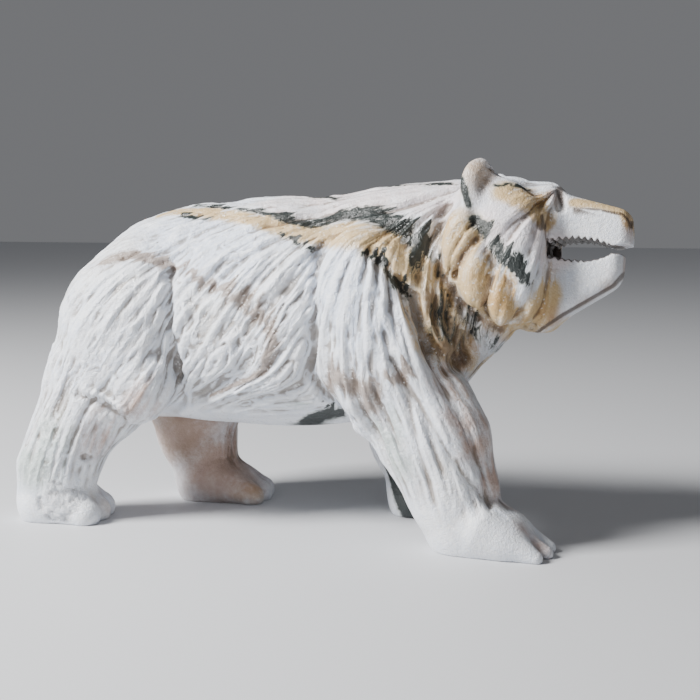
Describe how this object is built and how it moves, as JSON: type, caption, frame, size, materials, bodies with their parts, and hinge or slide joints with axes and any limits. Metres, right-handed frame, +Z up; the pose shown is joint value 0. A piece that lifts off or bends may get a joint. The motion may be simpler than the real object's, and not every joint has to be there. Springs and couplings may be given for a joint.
{
  "type": "calcite bear carving",
  "caption": "Stone carving of a walking bear with open jaws and long combed fur, cut in one piece from banded calcite, standing on its own flat soles.",
  "frame": {"origin": "bottom centre of the bounding box, on the surface the soles rest on", "axes": "+X forward from rump to nose, +Y to the bear's left, +Z up"},
  "size_m": [0.211, 0.073, 0.1242],
  "materials": {
    "calcite": "semi-gloss polished banded calcite"
  },
  "bodies": {
    "root": {"bear": "calcite"}
  },
  "joints": []
}
